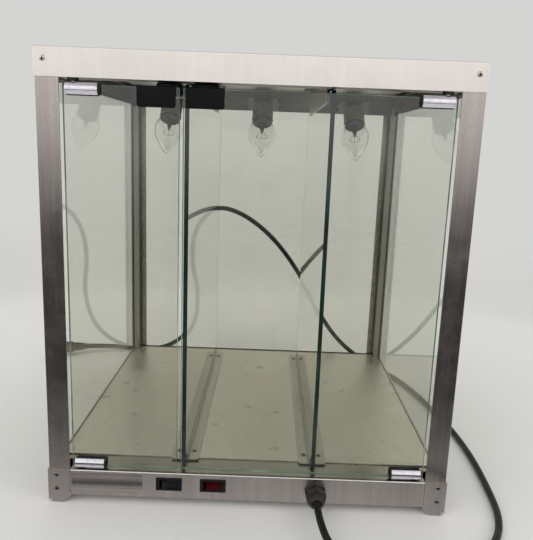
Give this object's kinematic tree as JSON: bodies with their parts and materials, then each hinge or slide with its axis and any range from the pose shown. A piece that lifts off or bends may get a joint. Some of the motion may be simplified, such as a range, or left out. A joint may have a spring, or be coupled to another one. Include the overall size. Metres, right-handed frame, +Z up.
{
  "type": "hot food display case",
  "caption": "Counter-top heated display case: sheet-metal cap and base on corner posts, glass sides and back, hinged glass doors, glass dividers, lamps under the cap.",
  "frame": {"origin": "centre of the footprint of the case, on the surface that it stands on", "axes": "+Z up; the door side faces -Y; +X is to the right of someone who looks at the doors"},
  "size_m": [0.7497, 0.6838, 0.53],
  "materials": {
    "cap_sheet": "satin sheet with a fine vertical grain",
    "frame_steel": "brushed along its length",
    "base_steel": "brushed, lightly scratched",
    "deck_sheet": "dull worn satin",
    "clear_glass": "clear float glass with green edges",
    "rivet_metal": "satin",
    "chrome_trim": "polished",
    "black_satin_steel": "black satin",
    "black_plastic": "moulded, slightly glossy",
    "gland_nylon": "moulded nylon",
    "magnet_steel": "satin",
    "red_lens": "translucent red, glossy",
    "label_foil": "satin foil, blank",
    "socket_shell": "dull grey sleeve",
    "bulb_glass": "clear thin glass",
    "cap_brass": "plain",
    "filament_glass": "clear stem with dark wires",
    "heater_sheath": "heat tinted",
    "thermostat_can": "plain",
    "ceramic": "glazed",
    "wire_cover": "sleeved",
    "cord_rubber": "satin jacket",
    "plug_rubber": "moulded"
  },
  "bodies": {
    "case": {"base_front_panel": "base_steel", "base_left_panel": "base_steel", "base_pan": "base_steel", "base_rear_panel": "base_steel", "base_right_panel": "base_steel", "bulb_caps": "cap_brass", "bulb_envelopes": "bulb_glass", "bulb_filament_mounts": "filament_glass", "cable_gland": "gland_nylon", "catch_bodies": "black_plastic", "deck_plate": "deck_sheet", "divider_floor_strips": "deck_sheet", "divider_hanging_guides": "frame_steel", "front_glazing_bars": "frame_steel", "front_left_foot_bracket": "base_steel", "front_left_post": "frame_steel", "front_right_foot_bracket": "base_steel", "front_right_post": "frame_steel", "front_top_rail": "frame_steel", "gland_nut": "gland_nylon", "heater_clips": "heater_sheath", "heater_element": "heater_sheath", "lamp_rail": "frame_steel", "lamp_sockets": "socket_shell", "left_divider_glass": "clear_glass", "left_side_glass": "clear_glass", "left_top_rail": "frame_steel", "pivot_bushings": "black_plastic", "pop_rivets": "rivet_metal", "power_cord": "cord_rubber", "power_plug": "plug_rubber", "rating_label": "label_foil", "rear_glass": "clear_glass", "rear_glazing_bars": "frame_steel", "rear_left_foot_bracket": "base_steel", "rear_left_post": "frame_steel", "rear_right_foot_bracket": "base_steel", "rear_right_post": "frame_steel", "rear_top_rail": "frame_steel", "right_divider_glass": "clear_glass", "right_side_glass": "clear_glass", "right_top_rail": "frame_steel", "switch_housings": "black_plastic", "terminal_block": "ceramic", "thermostat": "thermostat_can", "top_cap": "cap_sheet", "wiring_loom": "wire_cover"},
    "left_door": {"left_door_glass": "clear_glass", "left_door_clamps": "chrome_trim", "left_door_pins": "chrome_trim", "left_strike_plate": "black_satin_steel"},
    "right_door": {"right_door_glass": "clear_glass", "right_door_clamps": "chrome_trim", "right_door_pins": "chrome_trim", "right_strike_plate": "black_satin_steel"},
    "left_plunger": {"left_catch_plunger": "magnet_steel"},
    "right_plunger": {"right_catch_plunger": "magnet_steel"},
    "light_rocker": {"light_switch_rocker": "black_plastic"},
    "heat_rocker": {"heat_switch_rocker": "red_lens"}
  },
  "joints": [
    {"name": "left_door_hinge", "type": "hinge", "parent": "case", "child": "left_door", "pos_m": [-0.201, -0.227, 0.27], "axis": [0, 0, -1], "range_deg": [0, 100]},
    {"name": "right_door_hinge", "type": "hinge", "parent": "case", "child": "right_door", "pos_m": [0.201, -0.227, 0.27], "axis": [0, 0, 1], "range_deg": [0, 100]},
    {"name": "left_catch_stroke", "type": "slide", "parent": "case", "child": "left_plunger", "axis": [0, -1, 0], "range_m": [0, 0.01]},
    {"name": "right_catch_stroke", "type": "slide", "parent": "case", "child": "right_plunger", "axis": [0, -1, 0], "range_m": [0, 0.01]},
    {"name": "light_switch_rock", "type": "hinge", "parent": "case", "child": "light_rocker", "pos_m": [-0.095, -0.2295, 0.029], "axis": [0, 0, -1], "range_deg": [0, 24]},
    {"name": "heat_switch_rock", "type": "hinge", "parent": "case", "child": "heat_rocker", "pos_m": [-0.0418, -0.2295, 0.029], "axis": [0, 0, -1], "range_deg": [0, 24]}
  ],
  "couplings": [
    {"joint": "left_catch_stroke", "follows": "left_door_hinge", "m_per_rad": 0.0057},
    {"joint": "right_catch_stroke", "follows": "right_door_hinge", "m_per_rad": 0.0057}
  ]
}
